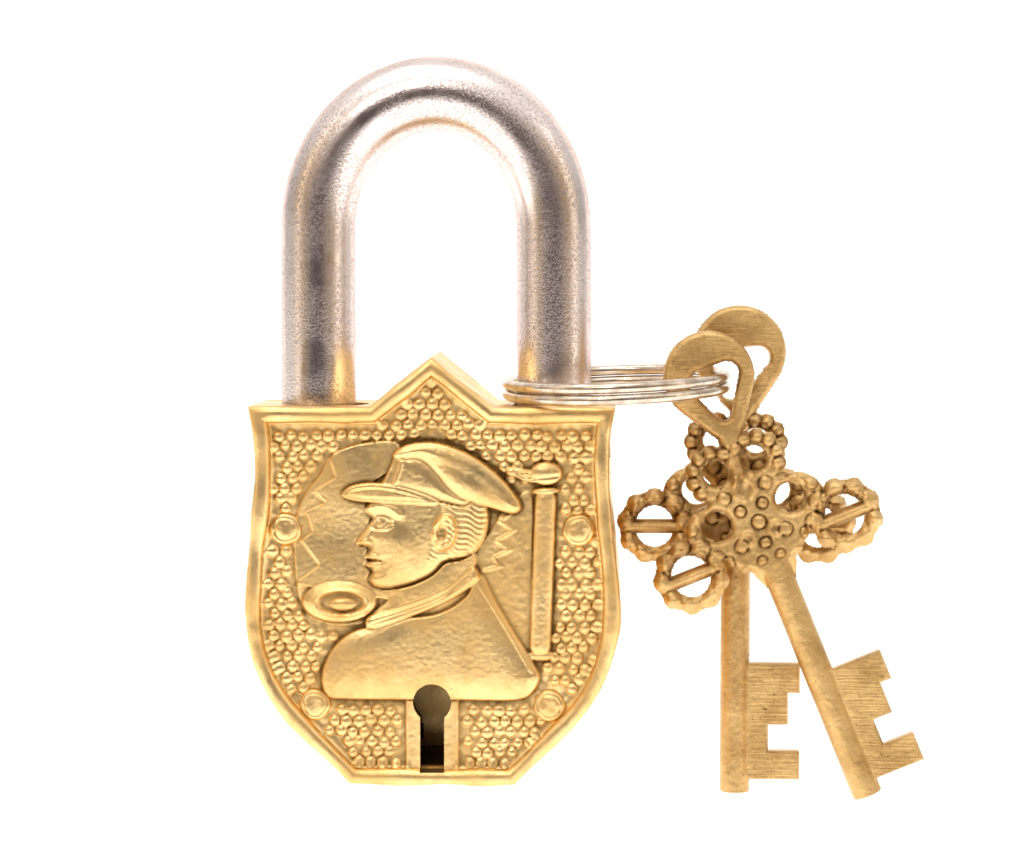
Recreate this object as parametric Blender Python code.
"""Cast brass lever padlock with a swinging steel shackle, a split ring and two cast keys.

Sizes below are millimetres in the case's own frame: X to the right, Y towards the back, Z up from
the flat foot of the case. Objects are placed in metres, with the origin at the crown of the bow.
"""

import math

import bmesh
import bpy
from mathutils import Matrix, Vector

MM = 0.001
FIT = 0.3  # gap between pieces that touch

# Case
CASE_FRONT = -10.8
CASTING_BACK = 8.2
CASE_BACK = 10.8
FOOT_HALF = 11.0
WAIST_HALF = 24.9
WAIST_Z = 23.2
SHOULDER_HALF = 24.3
SHOULDER_Z = 50.3
PEAK_HALF = 8.2
PEAK_Z = 57.0
WALL = 2.2
RIM_WIDTH = 2.1
FIELD_Y = -9.2  # beaded field behind the raised rim
INSIDE_Y = -7.4  # inner face of the front wall

# Shackle
BAR_R = 5.0
LEG_X = 15.9
ARCH_Z = 74.2
ARCH_RISE = 17.8
TOE_Z = 39.5
HINGE_Z = 41.5
HINGE_PIN_R = 2.0
SHACKLE_OPEN = math.radians(34)
NOTCH_LOW, NOTCH_HIGH, NOTCH_DEPTH = 41.0, 45.0, 3.6
CROWN_Z = ARCH_Z + ARCH_RISE - BAR_R

# Rivets
RIVETS = {
    "rivet_upper_left": (-19.4, 34.0),
    "rivet_upper_right": (19.4, 34.0),
    "rivet_lower_left": (-15.6, 10.6),
    "rivet_lower_right": (15.6, 10.6),
}
RIVET_R = 1.45
RIVET_HEAD_R = 2.05
BOSS_R = 2.6

# Keyhole and key
KEY_AXIS_Z = 11.0
KEYHOLE_R = 2.55
KEYHOLE_SLOT = 3.2
KEYHOLE_LOW = 1.7
STEM_R = 2.0
BIT_REACH = 8.8
BIT_THICK = 2.6
HEAD_THICK = 3.2
EYE_THICK = 2.6

# Lock work
PIVOT_X, PIVOT_Z, PIVOT_R = 12.5, 27.0, 1.5
LEVER_THICK = 1.4
LEVER_PITCH = 1.8
LEVER_FRONT = -6.9
LEVER_COUNT = 4
LEVER_BELLY = (18.5, 18.5, 16.9, 16.9)
BOLT_FRONT, BOLT_BACK = 5.5, 8.1
BOLT_TRAVEL = 4.0
STUMP_X, STUMP_HALF = 1.0, 0.85
STOP_X, STOP_Z, STOP_R = -7.6, 21.4, 1.1
ANCHOR_X, ANCHOR_Z, ANCHOR_R = 4.5, 38.0, 1.5
GUIDE_X, GUIDE_Z, GUIDE_R = -6.0, 24.5, 1.1
WARD_POST_X, WARD_POST_Z, WARD_POST_R = 10.5, 16.0, 1.1
WARD_FRONT, WARD_BACK = 2.4, 3.4

# Split ring and the two keys on it
WIRE_R = 0.72
RING_R = 14.72
RING_X, RING_Z = 24.35, 52.9
RING_TILT = math.radians(2.2)
RING_ROLL = math.radians(2.4)
KEY_PIVOT = (39.05, 53.45)
KEY_LAYER = 2.2


def material(name, colour, roughness, metallic=1.0):
    made = bpy.data.materials.new(name)
    made.use_nodes = True
    shader = made.node_tree.nodes["Principled BSDF"]
    shader.inputs["Base Color"].default_value = (*colour, 1.0)
    shader.inputs["Roughness"].default_value = roughness
    shader.inputs["Metallic"].default_value = metallic
    return made


def place(name, bm, finish, pivot=(0.0, 0.0, 0.0), cutter=False):
    """Makes an object of bm, which is in millimetres, with its origin on the pivot."""
    bmesh.ops.recalc_face_normals(bm, faces=bm.faces)
    to_pivot = Matrix.Scale(MM, 4) @ Matrix.Translation(-Vector(pivot))
    bmesh.ops.transform(bm, matrix=to_pivot, verts=bm.verts)
    mesh = bpy.data.meshes.new(name)
    bm.to_mesh(mesh)
    bm.free()
    mesh.shade_smooth()
    mesh.set_sharp_from_angle(angle=math.radians(35))
    obj = bpy.data.objects.new(name, mesh)
    obj.location = (pivot[0] * MM, pivot[1] * MM, (pivot[2] - CROWN_Z) * MM)
    bpy.context.scene.collection.objects.link(obj)
    if finish:
        mesh.materials.append(finish)
    if cutter:
        obj.hide_render = True
        obj.display_type = "WIRE"
    return obj


def shape(target, operation, bm):
    """Cuts bm out of the target, or joins it on, with a live Boolean."""
    tool = place(f"{target.name}_{operation.lower()}_{len(target.modifiers)}", bm, None, cutter=True)
    step = target.modifiers.new(operation.title(), "BOOLEAN")
    step.operation = operation
    step.solver = "EXACT"
    step.object = tool


def cut(target, bm):
    shape(target, "DIFFERENCE", bm)


def join(target, bm):
    shape(target, "UNION", bm)


def prism(outline, front, back):
    """Extrudes an outline of (x, z) points along Y."""
    bm = bmesh.new()
    face = bm.faces.new([bm.verts.new((x, front, z)) for x, z in outline])
    grown = bmesh.ops.extrude_face_region(bm, geom=[face])["geom"]
    moved = [item for item in grown if isinstance(item, bmesh.types.BMVert)]
    bmesh.ops.translate(bm, vec=(0, back - front, 0), verts=moved)
    return bm


def box(low, high):
    bm = bmesh.new()
    size = Vector(high) - Vector(low)
    middle = Matrix.Translation((Vector(low) + Vector(high)) / 2)
    bmesh.ops.create_cube(bm, size=1.0, matrix=middle @ Matrix.Diagonal((*size, 1)))
    return bm


def arc(centre, radius, start, end, steps, squash=1.0):
    """Points on an arc in the XZ plane, angles in degrees from +X towards +Z."""
    points = []
    for step in range(steps + 1):
        angle = math.radians(start + (end - start) * step / steps)
        points.append((centre[0] + radius * math.cos(angle), centre[1] + radius * squash * math.sin(angle)))
    return points


def circle(centre, radius, steps=24):
    return arc(centre, radius, 0, 360, steps)[:-1]


def disc(centre, radius, front, back, steps=24):
    return prism(circle(centre, radius, steps), front, back)


def tube(centre, inner, outer, front, back, steps=24):
    """A ring-shaped spacer along Y."""
    bm = bmesh.new()
    profile = [(inner, front), (outer, front), (outer, back), (inner, back)]
    verts = [bm.verts.new((centre[0] + radius, y, centre[1])) for radius, y in profile]
    edges = [bm.edges.new((verts[i], verts[(i + 1) % 4])) for i in range(4)]
    bmesh.ops.spin(bm, geom=verts + edges, cent=(centre[0], 0, centre[1]), axis=(0, 1, 0),
                   angle=math.tau, steps=steps, use_merge=True, use_duplicate=False)
    return bm


def turned(centre, profile, steps=24):
    """A solid turned round Y from (radius, y) points that start and end on its axis."""
    bm = bmesh.new()
    verts = [bm.verts.new((centre[0] + radius, y, centre[1])) for radius, y in profile]
    edges = [bm.edges.new(pair) for pair in zip(verts, verts[1:])]
    bmesh.ops.spin(bm, geom=verts + edges, cent=(centre[0], 0, centre[1]), axis=(0, 1, 0),
                   angle=math.tau, steps=steps, use_merge=True, use_duplicate=False)
    bmesh.ops.remove_doubles(bm, verts=bm.verts, dist=0.0001)
    return bm


def sweep(path, radius, steps=24):
    """A round bar along a path of 3-D points, with flat ends."""
    bm = bmesh.new()
    points = [Vector(point) for point in path]
    side = None
    rings = []
    for index, point in enumerate(points):
        along = (points[min(index + 1, len(points) - 1)] - points[max(index - 1, 0)]).normalized()
        if side is None:
            side = along.orthogonal().normalized()
        side = (side - along * side.dot(along)).normalized()
        other = along.cross(side)
        ring = []
        for step in range(steps):
            angle = math.tau * step / steps
            offset = side * math.cos(angle) + other * math.sin(angle)
            ring.append(bm.verts.new(point + offset * radius))
        rings.append(ring)
    for ring, after in zip(rings, rings[1:]):
        for step in range(steps):
            nxt = (step + 1) % steps
            bm.faces.new((ring[step], ring[nxt], after[nxt], after[step]))
    bm.faces.new(rings[0])
    bm.faces.new(rings[-1])
    return bm


def hull_outline(circles, steps=20):
    """The outline round several circles of (x, z, radius), as a convex shape."""
    points = []
    for x, z, radius in circles:
        points += circle((x, z), radius, steps)
    points = sorted(set(points))

    def half(run):
        kept = []
        for point in run:
            while len(kept) > 1:
                (ax, az), (bx, bz) = kept[-2:]
                if (bx - ax) * (point[1] - az) - (bz - az) * (point[0] - ax) > 1e-9:
                    break
                kept.pop()
            kept.append(point)
        return kept[:-1]

    return half(points) + half(points[::-1])


def shield_outline():
    """Front outline of the case, from the right end of the foot round to the left end."""
    lower_r = 22.5
    centre = (WAIST_HALF - lower_r, WAIST_Z)
    right = [(FOOT_HALF, 0.0)] + arc(centre, lower_r, -45, 0, 8)
    start, end = Vector((WAIST_HALF, WAIST_Z)), Vector((SHOULDER_HALF, SHOULDER_Z))
    for step in range(1, 9):
        t = step / 8
        lead = Vector((WAIST_HALF, WAIST_Z + 7.8))
        pull = Vector((WAIST_HALF - 2.7, SHOULDER_Z - 8.3))
        point = start * (1 - t) ** 3 + lead * 3 * t * (1 - t) ** 2 + pull * 3 * t * t * (1 - t) + end * t**3
        right.append((point.x, point.y))
    right.append((PEAK_HALF, SHOULDER_Z))
    left = [(-x, z) for x, z in reversed(right)]
    return right + [(0.0, PEAK_Z)] + left


def shrunk(outline, by):
    """The outline moved inwards by the same distance all round."""
    moved = []
    count = len(outline)
    for index in range(count):
        before, here, after = (Vector(outline[(index + k) % count]) for k in (-1, 0, 1))
        first = (here - before).normalized()
        second = (after - here).normalized()
        normal = (Vector((-first.y, first.x)) + Vector((-second.y, second.x))).normalized()
        reach = by / max(0.5, normal.dot(Vector((-first.y, first.x))))
        point = here + normal * reach
        moved.append((point.x, point.y))
    return moved


def rivet_hole(centre):
    """Cutter for a rivet's hole, with its countersink in the back plate."""
    r = RIVET_R + 0.15
    return turned(centre, [(0, -14), (r, -14), (r, CASE_BACK - 2.2), (RIVET_HEAD_R + FIT, CASE_BACK + 0.3),
                           (RIVET_HEAD_R + FIT, 14), (0, 14)])


def keyhole(front, back):
    """Cutter for the keyhole: a round top with a slot below it."""
    slot = KEYHOLE_SLOT / 2
    meet = math.degrees(math.acos(slot / KEYHOLE_R))
    round_part = arc((0, KEY_AXIS_Z), KEYHOLE_R, -meet, 180 + meet, 20)
    return prism([(slot, KEYHOLE_LOW), *round_part, (-slot, KEYHOLE_LOW)], front, back)


def toe_hole():
    """The hole for the toe is longer towards the middle, so that the toe can swing out."""
    return hull_cutter([(-LEG_X, 0, BAR_R + 0.25), (-LEG_X + 1.5, 0, BAR_R + 0.25)], 44.0, 60.0)


def hull_cutter(circles, low, high):
    """A vertical cutter with the outline round circles of (x, y, radius)."""
    bm = bmesh.new()
    face = bm.faces.new([bm.verts.new((x, y, low)) for x, y in hull_outline(circles, 24)])
    grown = bmesh.ops.extrude_face_region(bm, geom=[face])["geom"]
    moved = [item for item in grown if isinstance(item, bmesh.types.BMVert)]
    bmesh.ops.translate(bm, vec=(0, 0, high - low), verts=moved)
    return bm


def heel_slot():
    """Room for the hinged leg: upright on its left, and leaning at the open angle on its right."""
    reach = BAR_R + 0.35
    lean = SHACKLE_OPEN + math.radians(1)
    side = Vector((math.cos(lean), -math.sin(lean))) * reach
    up = Vector((math.sin(lean), math.cos(lean)))
    pin = Vector((LEG_X, HINGE_Z))
    low, high = pin + side, pin + side + up * 24
    outline = [(LEG_X - reach, HINGE_Z - 3), (LEG_X - reach, 62), (high.x, 62), tuple(high), tuple(low)]
    return prism(outline, -reach, reach)


def case_casting(brass):
    outline = shield_outline()
    case = place("case_casting", prism(outline, CASE_FRONT, CASTING_BACK), brass)
    cut(case, prism(shrunk(outline, RIM_WIDTH), CASE_FRONT - 2, FIELD_Y))
    cut(case, prism(shrunk(outline, WALL), INSIDE_Y, CASTING_BACK + 2))
    for centre in RIVETS.values():
        join(case, disc(centre, BOSS_R, INSIDE_Y - 0.6, CASTING_BACK, 20))
    join(case, disc((LEG_X, HINGE_Z), 3.6, INSIDE_Y - 0.6, -BAR_R - FIT, 24))
    join(case, bust_relief())
    cut(case, toe_hole())
    cut(case, heel_slot())
    cut(case, keyhole(CASE_FRONT - 2, INSIDE_Y + 1))
    for centre in RIVETS.values():
        cut(case, disc(centre, RIVET_R + 0.15, -14, 14, 20))
        cut(case, disc(centre, RIVET_HEAD_R + FIT, CASE_FRONT - 2, FIELD_Y, 20))
    cut(case, disc((LEG_X, HINGE_Z), HINGE_PIN_R + 0.15, INSIDE_Y - 1.0, -BAR_R + 1))
    return case


def bust_relief():
    """Plain stand-in for the cast bust: shoulders, neck, head and cap in one low step."""
    outline = [(-14.4, 11.8), (14.0, 11.8), (13.6, 15.2), (7.0, 22.5), (6.2, 28.0), (8.4, 34.5), (10.6, 37.2),
               (4.0, 43.6), (-3.6, 44.8), (-11.0, 40.0), (-9.2, 36.0), (-8.6, 27.0), (-4.5, 24.4),
               (-13.2, 18.6)]
    return prism(outline, FIELD_Y - 1.2, FIELD_Y + 0.4)


def back_plate(brass):
    plate = place("back_plate", prism(shield_outline(), CASTING_BACK + FIT, CASE_BACK), brass)
    for centre in RIVETS.values():
        cut(plate, rivet_hole(centre))
    cut(plate, disc((LEG_X, HINGE_Z), HINGE_PIN_R + 0.15, 6, 14))
    cut(plate, disc((0, KEY_AXIS_Z), STEM_R + 0.3, 7, CASTING_BACK + FIT + 1.5))
    for x, z, r in ((PIVOT_X, PIVOT_Z, PIVOT_R), (GUIDE_X, GUIDE_Z, GUIDE_R),
                    (-WARD_POST_X, WARD_POST_Z, WARD_POST_R), (WARD_POST_X, WARD_POST_Z, WARD_POST_R)):
        cut(plate, disc((x, z), r + 0.15, 7, CASTING_BACK + FIT + 1.2, 20))
    return plate


def rivets(brass):
    for name, centre in RIVETS.items():
        head = FIELD_Y - FIT
        profile = [(0, head - 0.7), (RIVET_HEAD_R - 0.3, head - 0.7), (RIVET_HEAD_R, head - 0.4),
                   (RIVET_HEAD_R, head),
                   (RIVET_R, head), (RIVET_R, CASE_BACK - 2.2), (RIVET_HEAD_R, CASE_BACK - 0.1),
                   (0, CASE_BACK - 0.1)]
        place(name, turned(centre, profile, 20), brass)


def shackle(steel):
    """Bow with a notched toe on the left and a hinged heel on the right."""
    path = [(-LEG_X, 0, TOE_Z), (-LEG_X, 0, (TOE_Z + ARCH_Z) / 2)]
    path += [(x, 0, z) for x, z in arc((0, ARCH_Z), LEG_X, 180, 0, 28, ARCH_RISE / LEG_X)]
    path += [(LEG_X, 0, (HINGE_Z + ARCH_Z) / 2), (LEG_X, 0, HINGE_Z)]
    pin = (LEG_X, 0, HINGE_Z)
    bow = place("shackle", sweep(path, BAR_R), steel, pin)
    join(bow, disc((LEG_X, HINGE_Z), BAR_R - 0.12, -BAR_R + 0.9, BAR_R - 0.9, 32))
    inner = -LEG_X + BAR_R
    cut(bow, box((inner - NOTCH_DEPTH, -7, NOTCH_LOW), (inner + 3, 7, NOTCH_HIGH)))
    cut(bow, disc((LEG_X, HINGE_Z), HINGE_PIN_R + 0.15, -9, 9))
    return bow


def hinge_parts(steel, brass):
    pin = [(0, INSIDE_Y - 0.7), (HINGE_PIN_R - 0.4, INSIDE_Y - 0.7), (HINGE_PIN_R, INSIDE_Y - 0.3),
           (HINGE_PIN_R, CASE_BACK - 0.1), (0, CASE_BACK - 0.1)]
    place("shackle_hinge_pin", turned((LEG_X, HINGE_Z), pin), steel)
    place("heel_spacer", tube((LEG_X, HINGE_Z), HINGE_PIN_R + 0.15, 3.5, BAR_R + FIT, CASTING_BACK), brass)


def lock_bolt(brass):
    """Drawn bolt: a plate behind the levers with a talon for the key and a head that locks the toe."""
    plate = [(-8.8, 21.0), (-3.3, 21.0), (-3.3, 17.3), (-0.6, 17.3), (-0.6, 20.7), (4.6, 20.7), (4.6, 17.3),
             (7.1, 17.3), (7.1, 22.9), (20.3, 22.9), (20.3, 30.9), (-3.8, 30.9), (-3.8, 44.7), (-8.8, 44.7)]
    bolt = place("lock_bolt", prism(plate, BOLT_FRONT, BOLT_BACK), brass)
    head = [(-9.8, 41.5), (-9.2, 41.2), (-4.2, 41.2), (-4.2, 44.5), (-9.8, 44.5)]
    join(bolt, prism(head, -2.5, BOLT_BACK - 0.4))
    low = (STUMP_X - STUMP_HALF, LEVER_FRONT, PIVOT_Z - STUMP_HALF)
    high = (STUMP_X + STUMP_HALF, BOLT_FRONT + 0.6, PIVOT_Z + STUMP_HALF)
    join(bolt, box(low, high))
    for x, z, r in ((PIVOT_X, PIVOT_Z, PIVOT_R + 0.3), (GUIDE_X, GUIDE_Z, GUIDE_R + 0.3)):
        cut(bolt, prism(hull_outline([(x, z, r), (x + BOLT_TRAVEL, z, r)]), 2, 10))
    return bolt


def lever_outline(belly):
    """A lever from its round pivot end on the right to its square nose on the left."""
    right = arc((PIVOT_X, PIVOT_Z), 3.4, -90, 90, 10)
    top = [(4.0, 31.2), (-9.0, 31.2)]
    bottom = [(-9.0, 22.9), (-4.6, 22.9), (-3.0, belly + 1.4), (-1.4, belly + 0.3), (0.0, belly),
              (1.4, belly + 0.3),
              (3.0, belly + 1.4), (5.0, 22.9)]
    return right + top + bottom


def lever_gate():
    """Window for the bolt's stump: two pockets, with a narrower gate between them."""
    return [(-4.7, 23.9), (-1.5, 23.9), (-1.5, 24.6), (-0.6, 24.6), (-0.6, 23.9), (2.8, 23.9),
            (2.8, 28.8), (-0.6, 28.8), (-0.6, 28.0), (-1.5, 28.0), (-1.5, 28.8), (-4.7, 28.8)]


def levers(brass, spring_steel):
    for index in range(LEVER_COUNT):
        front = LEVER_FRONT + LEVER_PITCH * index
        back = front + LEVER_THICK
        lever = place(f"lever_{index + 1}", prism(lever_outline(LEVER_BELLY[index]), front, back), brass,
                      (PIVOT_X, 0, PIVOT_Z))
        cut(lever, disc((PIVOT_X, PIVOT_Z), PIVOT_R + 0.15, front - 2, back + 2))
        cut(lever, prism(lever_gate(), front - 2, back + 2))
        place(f"lever_spring_{index + 1}", leaf_spring(front + 0.2, back - 0.2), spring_steel)


def leaf_spring(front, back):
    """A strip curled round the anchor post, with its free end on top of a lever."""
    radius, thick = ANCHOR_R + 0.35, 0.35
    line = arc((ANCHOR_X, ANCHOR_Z), radius + thick / 2, -60, 215, 16)
    line += [(0.4, 33.6), (-3.2, 32.1), (-5.6, 31.75), (-7.4, 31.95)]
    sides = ([], [])
    for index, point in enumerate(line):
        along = Vector(line[min(index + 1, len(line) - 1)]) - Vector(line[max(index - 1, 0)])
        normal = Vector((-along.y, along.x)).normalized() * thick / 2
        sides[0].append((point[0] + normal.x, point[1] + normal.y))
        sides[1].append((point[0] - normal.x, point[1] - normal.y))
    return prism(sides[0] + sides[1][::-1], front, back)


def pins_and_ward(steel, brass):
    seat = CASTING_BACK + FIT + 1.0
    front = INSIDE_Y + FIT
    place("lever_pivot_post", disc((PIVOT_X, PIVOT_Z), PIVOT_R, front, seat, 20), steel)
    last = LEVER_FRONT + LEVER_PITCH * (LEVER_COUNT - 1) + LEVER_THICK
    spacer = tube((PIVOT_X, PIVOT_Z), PIVOT_R + 0.15, 3.0, last + FIT, BOLT_FRONT - FIT, 20)
    place("lever_spacer", spacer, brass)
    place("spring_anchor_post", disc((ANCHOR_X, ANCHOR_Z), ANCHOR_R, front, last + 1.0, 20), steel)
    place("bolt_guide_pin", disc((GUIDE_X, GUIDE_Z), GUIDE_R, BOLT_FRONT - 0.6, seat, 20), steel)
    place("lever_stop_pin", disc((STOP_X, STOP_Z), STOP_R, front, last + 0.4, 20), steel)
    outline = hull_outline([(-9.6, 14.6, 3.4), (9.6, 14.6, 3.4), (-6.0, 6.6, 2.4), (6.0, 6.6, 2.4)])
    ward = place("ward_plate", prism(outline, WARD_FRONT, WARD_BACK), brass)
    cut(ward, disc((0, KEY_AXIS_Z), 5.3, 0, 6, 28))
    cut(ward, box((-2.0, 0, 0), (2.0, 6, KEY_AXIS_Z)))
    for side, x in (("left", -WARD_POST_X), ("right", WARD_POST_X)):
        cut(ward, disc((x, WARD_POST_Z), WARD_POST_R + 0.15, 0, 6, 20))
        place(f"ward_post_{side}", disc((x, WARD_POST_Z), WARD_POST_R, front, seat, 20), steel)


def split_ring(steel):
    """Two flat turns of wire, with a short ramp from the lower turn to the upper one."""
    steps, pitch = 88, 2 * WIRE_R + 0.06
    path = []
    for step in range(steps + 1):
        turns = 1.96 * step / steps + 0.02
        ramp = min(1.0, max(0.0, (turns - 0.94) / 0.12))
        height = pitch * (ramp * ramp * (3 - 2 * ramp) - 0.5)
        angle = math.tau * turns + math.radians(150)
        path.append(Vector((RING_R * math.cos(angle), RING_R * math.sin(angle), height)))
    turn = Matrix.Rotation(-RING_TILT, 4, "Y") @ Matrix.Rotation(RING_ROLL, 4, "X")
    middle = Vector((RING_X, 0, RING_Z))
    path = [turn @ point + middle for point in path]
    return place("split_ring", sweep(path, WIRE_R, 8), steel, ring_joint())


def ring_joint():
    return (RING_X - RING_R, 0.0, RING_Z - 0.6)


def key(name, brass, layer, lean, eye_hub, eye, pivot):
    """A cast key in the XZ plane, drawn from the middle of its head with the bit pointing down.

    eye_hub is the middle and radius of the round eye, eye the circles round its hole,
    and pivot the place in that frame where the ring's wire goes through."""
    turn = Matrix.Rotation(-lean, 4, "Y")
    home = Vector((KEY_PIVOT[0], layer, KEY_PIVOT[1]))

    def move(bm):
        bmesh.ops.translate(bm, vec=(-pivot[0], 0, -pivot[1]), verts=bm.verts)
        bmesh.ops.transform(bm, matrix=Matrix.Translation(home) @ turn, verts=bm.verts)
        return bm

    half = HEAD_THICK / 2
    body = place(name, move(disc((0, 1.2), 7.0, -half, half)), brass, (KEY_PIVOT[0], layer, KEY_PIVOT[1]))
    lobes = [(-11.0, -2.5), (11.2, -2.5)]
    for centre in lobes:
        join(body, move(disc(centre, 5.0, -half + 0.1, half - 0.1)))
    for side in (-1, 1):
        join(body, move(disc((side * 2.9, 8.9), 4.0, -half + 0.15, half - 0.15, 20)))
        join(body, move(disc((side * 6.0, 1.6), 3.9, -half + 0.2, half - 0.2, 20)))
    neck = hull_outline([(1.0, 13.2, 1.8), (0.6, 8.0, 2.0)])
    join(body, move(prism(neck, -1.25, 1.25)))
    eye_plate = hull_outline([eye_hub, (1.0, 13.6, 1.7)], 28)
    join(body, move(prism(eye_plate, -EYE_THICK / 2, EYE_THICK / 2)))
    stem = [(0, 0, -3.0), (0, 0, -38.7)]
    join(body, move(sweep(stem, STEM_R, 16)))
    root = STEM_R - 0.6
    bit = [(root, -21.1), (BIT_REACH, -21.1), (BIT_REACH, -25.2), (7.2, -25.2), (7.2, -29.5), (4.5, -29.5),
           (4.5, -33.1), (BIT_REACH, -33.1), (BIT_REACH, -37.0), (root, -37.0)]
    join(body, move(prism(bit, -BIT_THICK / 2, BIT_THICK / 2)))
    cut(body, move(prism(hull_outline(eye, 16), -4, 4)))
    for side in (-1, 1):
        cut(body, move(disc((side * 2.75, 9.2), 1.7, -4, 4, 16)))
        cut(body, move(disc((side * 5.3, 2.5), 2.0, -4, 4, 16)))
    for x, z in lobes:
        for up in (-1, 1):
            start = 12 if up > 0 else 192
            cut(body, move(prism(arc((x, z + up * 0.25), 3.1, start, start + 156, 10), -4, 4)))
    return body


def build():
    for old in list(bpy.data.objects):
        bpy.data.objects.remove(old)
    brass = material("cast_brass", (0.66, 0.42, 0.14), 0.35)
    key_brass = material("sand_cast_brass", (0.55, 0.35, 0.12), 0.5)
    lock_brass = material("lock_brass", (0.62, 0.45, 0.2), 0.4)
    plated = material("plated_steel", (0.72, 0.69, 0.66), 0.2)
    steel = material("bright_steel", (0.55, 0.55, 0.56), 0.35)
    wire = material("nickel_wire", (0.68, 0.62, 0.52), 0.25)

    case_casting(brass)
    back_plate(brass)
    rivets(brass)
    shackle(plated)
    hinge_parts(steel, lock_brass)
    lock_bolt(lock_brass)
    levers(lock_brass, steel)
    pins_and_ward(steel, lock_brass)
    split_ring(wire)
    key("key_front", key_brass, -KEY_LAYER, math.radians(22.2), (1.3, 21.6, 6.1),
        [(0.3, 20.9, 1.9), (3.7, 21.1, 1.6), (1.3, 16.4, 1.1)], (3.2, 20.1))
    key("key_back", key_brass, KEY_LAYER, 0.0, (0.4, 21.2, 6.3),
        [(-1.1, 19.6, 2.0), (2.9, 20.4, 1.6), (-0.6, 16.9, 2.1)], (-1.5, 17.4))


build()
